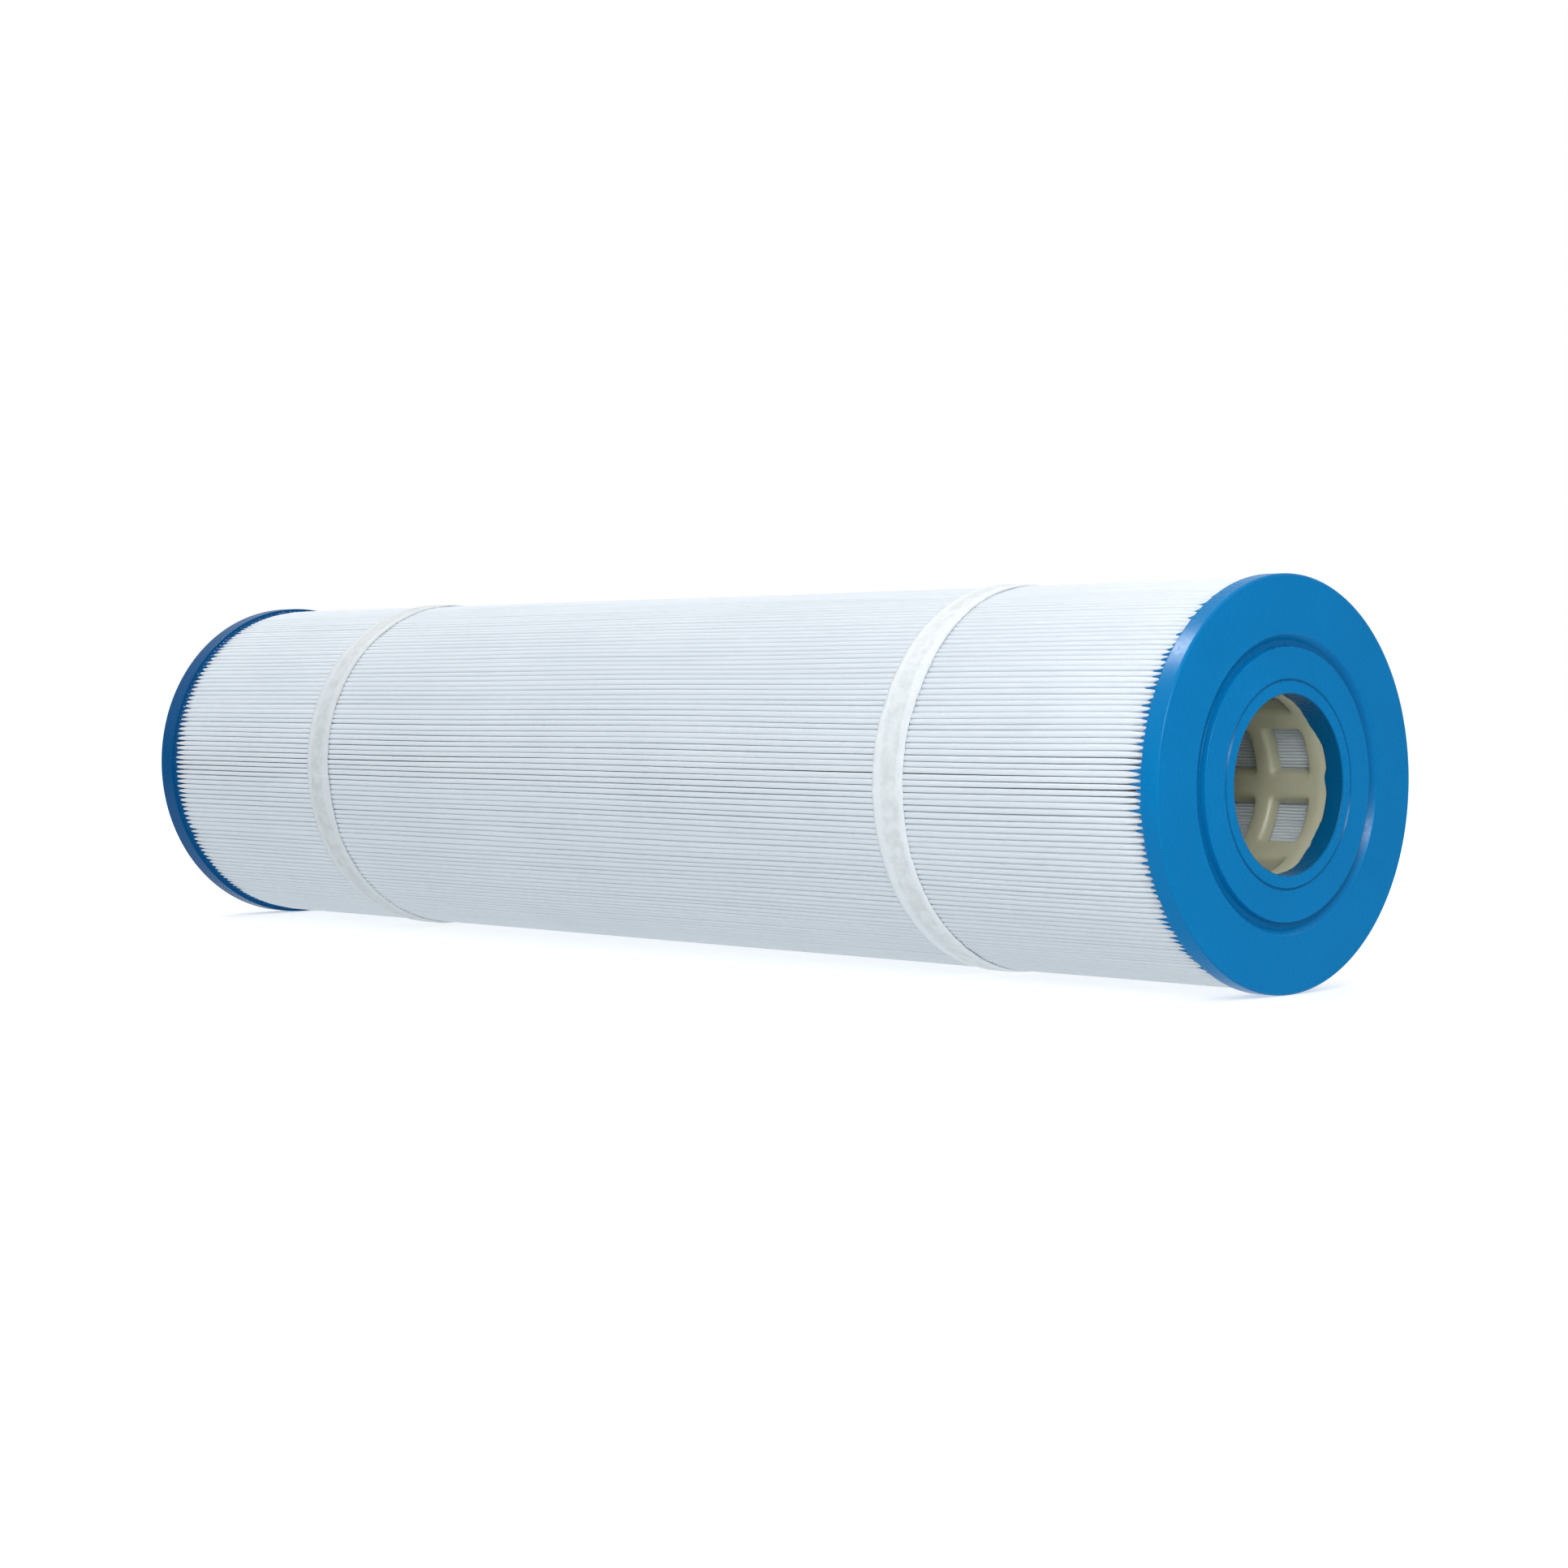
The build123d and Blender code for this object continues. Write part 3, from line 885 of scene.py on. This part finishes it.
def build_segment(index):
    """One lattice segment of the core, with its spigot and socket."""
    node = f"core_segment_{index + 1}"
    low_x, high_x = (x / MM for x in extent_x(node))
    end_length = END_RING + WINDOW_HALF_LENGTH
    pitch = (high_x - low_x - 2 * end_length) / (ROWS_PER_SEGMENT - 1)
    rings = window_rings(pitch / 2)
    points, faces = [], []
    for row, window in itertools.product(range(ROWS_PER_SEGMENT), range(WINDOWS_PER_ROW)):
        middle_x = low_x + end_length + row * pitch
        middle = FIRST_WINDOW_ANGLE + window * WINDOW_PITCH
        first = sum(len(part) for part in points)
        cell = [around((middle_x + x) * MM, radius * MM, middle + angle) for x, angle, radius in rings]
        if row == 0 and index > 0:
            cell[0][:, 0] = np.maximum(cell[0][:, 0], (low_x + SPIGOT_LENGTH) * MM)
        points += cell
        faces += grid_faces(len(rings), len(cell[0]), wrap_columns=True, first=first)
    border = np.unique(np.round(cell_loop(pitch / 2)[1], 9))[:-1]
    angle = FIRST_WINDOW_ANGLE + np.concatenate([border + k * WINDOW_PITCH for k in range(WINDOWS_PER_ROW)])
    row_low, row_high = low_x + end_length - pitch / 2, high_x - end_length + pitch / 2
    for path in (socket_path(index, low_x, row_low), spigot_path(index, high_x, row_high)):
        first = sum(len(part) for part in points)
        x, radius = (np.array(path)[:, k][:, None] * MM for k in (0, 1))
        points.append(around(x, radius, angle[None, :]).reshape(-1, 3))
        faces += grid_faces(len(path), len(angle), wrap_columns=True, first=first)
    segment = new_object(f"lattice_{index + 1}", np.concatenate(points), faces, IVORY)
    return adopt(segment, node)


# ------------------------------------------------------------------------------------------------ strips

STRIP_END = {"front": 143.0, "rear": 183.0}  # the strip's angles are in degrees
STRIP_OVERLAP = 20.0
TAIL_START = 0.35  # how long the tail takes to rise at its cut end, and to sink into the turn below
TAIL_FADE = 4
STRIP_ANGLES = 1000
STRIP_COLUMNS = 12
STRIP_EDGE_RADIUS = 61.85 * MM
STRIP_CROWN = 0.4 * MM
STRIP_LUMP = 0.06 * MM
STRIP_THICKNESS = 0.35 * MM
STRIP_DRIFT = 0.3 * MM
STRIP_RAGGED = 0.012  # of the half width
CROWN_POWER = 4
TAIL_RISE = 0.3 * MM
TAIL_SHIFT = 0.5 * MM


def build_strip(name):
    """A strip round the pleats: bulged by the melt under it, with its tail stuck down over its start."""
    low_x, high_x = extent_x(f"{name}_band")
    width, middle_x = high_x - low_x, (low_x + high_x) / 2
    rng = np.random.default_rng(STRIP_SEED[name])
    angle = np.linspace(0, 360, STRIP_ANGLES, endpoint=False)
    into = (angle - STRIP_END[name]) % 360
    tail = np.clip(into / TAIL_START, 0, 1) * np.clip((STRIP_OVERLAP - into) / TAIL_FADE, 0, 1)
    tail = tail[:, None]
    drift = STRIP_DRIFT * smooth_noise(rng, STRIP_ANGLES, 1, row_scale=150, column_scale=1)
    lumps = smooth_noise(rng, STRIP_ANGLES, STRIP_COLUMNS, row_scale=9, column_scale=3)
    ragged = smooth_noise(rng, STRIP_ANGLES, 2, row_scale=6, column_scale=1)
    across = np.linspace(-1, 1, STRIP_COLUMNS)[None, :]
    edge = 1 + STRIP_RAGGED * np.where(across < 0, ragged[:, :1], ragged[:, 1:])
    x = middle_x + drift + across * edge * width / 2 + tail * TAIL_SHIFT
    crown = 1 - np.abs(across) ** CROWN_POWER
    top = STRIP_EDGE_RADIUS + (STRIP_CROWN + STRIP_LUMP * lumps) * crown + TAIL_RISE * tail
    bottom = STRIP_EDGE_RADIUS + (STRIP_CROWN * crown - STRIP_THICKNESS) * np.ones_like(tail)
    turned = np.radians(angle)[:, None]
    ring = np.concatenate([around(x, top, turned), around(x, bottom, turned)[:, ::-1]], axis=1)
    faces = grid_faces(STRIP_ANGLES, 2 * STRIP_COLUMNS, wrap_rows=True, wrap_columns=True)
    strip = adopt(new_object(f"{name}_strip", ring, faces, STRIP[name]), f"{name}_band")
    return strip


# ------------------------------------------------------------------------------------------------- stage

STAGE_SIZE = 15  # metres
BACKDROP_RADIUS = 0.9 * STAGE_SIZE
BACKDROP_SIDES = 64
BACKDROP_ROWS = 24
BACKDROP_LOW, BACKDROP_HIGH = -0.3, math.pi / 2 - 0.01  # its lowest and highest row, as angles from level


def plain_material(name, colour, glow):
    """A material for the stage: a dull grey with some light of its own."""
    material, _, shader = new_material(name, 0.9, Specular_IOR_Level=0.0)
    shader.inputs["Base Color"].default_value = (colour, colour, colour, 1)
    shader.inputs["Emission Color"].default_value = (1, 1, 1, 1)
    shader.inputs["Emission Strength"].default_value = glow
    return material


def set_stage(name, points, faces, material):
    """A stage piece that the camera sees and that takes shadows, but sends no light to the object."""
    piece = new_object(name, points, faces, material)
    piece.visible_diffuse = False
    piece.visible_glossy = False
    piece.visible_transmission = False
    return piece


def build_floor():
    """A plain pale floor that runs out to the backdrop."""
    corners = [(x * STAGE_SIZE, y * STAGE_SIZE, 0) for x, y in ((-1, -1), (1, -1), (1, 1), (-1, 1))]
    set_stage("floor", corners, [(0, 1, 2, 3)], plain_material("floor", colour=0.7, glow=0.5))


def build_backdrop():
    """A plain white backdrop all round."""
    angle = np.linspace(0, 2 * math.pi, BACKDROP_SIDES, endpoint=False)[:, None]
    rise = np.linspace(BACKDROP_LOW, BACKDROP_HIGH, BACKDROP_ROWS)[None, :]
    x, y = BACKDROP_RADIUS * np.cos(angle) * np.cos(rise), BACKDROP_RADIUS * np.sin(angle) * np.cos(rise)
    z = BACKDROP_RADIUS * np.sin(rise) + 0 * angle
    lid = [BACKDROP_ROWS * side + BACKDROP_ROWS - 1 for side in range(BACKDROP_SIDES)]
    faces = grid_faces(BACKDROP_SIDES, BACKDROP_ROWS, wrap_rows=True) + [lid]
    white = plain_material("backdrop", colour=0.0, glow=1.0)
    backdrop = set_stage("backdrop", np.stack([x, y, z], axis=-1), faces, white)
    backdrop.visible_shadow = False


COOL = (0.915, 0.97, 1.0)
NEUTRAL = (1, 1, 1)
WORLD_STRENGTH = 1.09
WORLD_STOPS = (  # (height from -1 straight down to 1 straight up, brightness, tint)
    (-1.0, 0.5, COOL),
    (-0.6, 0.95, COOL),
    (-0.25, 1.0, COOL),
    (-0.1, 0.3, COOL),
    (0.1, 0.3, COOL),
    (0.25, 0.8, COOL),
    (1.0, 0.97, NEUTRAL),
)


def build_world():
    """Soft light from above and from the floor, with a darker band at the height of the horizon."""
    world = bpy.data.worlds.new("room")
    bpy.context.scene.world = world
    world.use_nodes = True
    tree = world.node_tree
    place = tree.nodes.new("ShaderNodeTexCoord")
    split = tree.nodes.new("ShaderNodeSeparateXYZ")
    height = tree.nodes.new("ShaderNodeMapRange")
    height.inputs["From Min"].default_value = -1
    tree.links.new(place.outputs["Generated"], split.inputs["Vector"])
    tree.links.new(split.outputs["Z"], height.inputs["Value"])
    stops = [((z + 1) / 2, np.array(tint) * value) for z, value, tint in WORLD_STOPS]
    brightness = add_ramp(tree, height.outputs["Result"], stops)
    tree.links.new(brightness, tree.nodes["Background"].inputs["Color"])
    tree.nodes["Background"].inputs["Strength"].default_value = WORLD_STRENGTH


def add_panel(name, place, aim, size, power, only_glints=False):
    """A soft square light panel, which may light nothing and only show in glossy surfaces."""
    light = bpy.data.lights.new(name, "AREA")
    light.shape = "SQUARE"
    light.size = size
    light.energy = power
    lamp = bpy.data.objects.new(name, light)
    lamp.location = place
    lamp.rotation_euler = (Vector(aim) - Vector(place)).to_track_quat("-Z", "Y").to_euler()
    lamp.visible_camera = False
    lamp.visible_diffuse = not only_glints
    bpy.context.scene.collection.objects.link(lamp)
    return light


PANELS = (  # (name, place, aim, size in metres, power in watts, whether it only shows in glossy surfaces)
    ("front_panel", (0.8, -0.75, 0.36), (0.15, 0, AXIS_Z), 0.35, 1.3, False),
    ("back_panel", (-0.9, -0.2, 1.1), (0.1, 0, AXIS_Z), 0.3, 2.0, False),
    ("groove_glint", (1.159, -0.476, 0.532), (HALF_LENGTH, 0, AXIS_Z), 0.2, 14.0, True),
    ("rim_glint", (-0.67, -0.23, 1.27), (HALF_LENGTH, 0, AXIS_Z), 0.3, 18.0, True),
)
CAP_PANEL = ("cap_panel", (0.42, -0.22, 0.2), (HALF_LENGTH, -0.03, 0.075), 0.08, 0.035)
CAP_PANEL_SPREAD = math.radians(80)


def build_lights():
    """Panels to the front left and behind the far end, a small one by the front cap, and two glints."""
    for name, place, aim, size, power, only_glints in PANELS:
        add_panel(name, place, aim, size, power, only_glints)
    add_panel(*CAP_PANEL).spread = CAP_PANEL_SPREAD
    bpy.context.scene.view_settings.view_transform = "Standard"


build_camera()
build_media()
build_seam()
for end_name in ENDS:
    build_cap(end_name)
    build_wicking(end_name)
    build_strip(end_name)
    dress_node(f"{end_name}_band_melt", MELT)
for number in range(SEGMENT_COUNT):
    build_segment(number)
build_floor()
build_backdrop()
build_world()
build_lights()
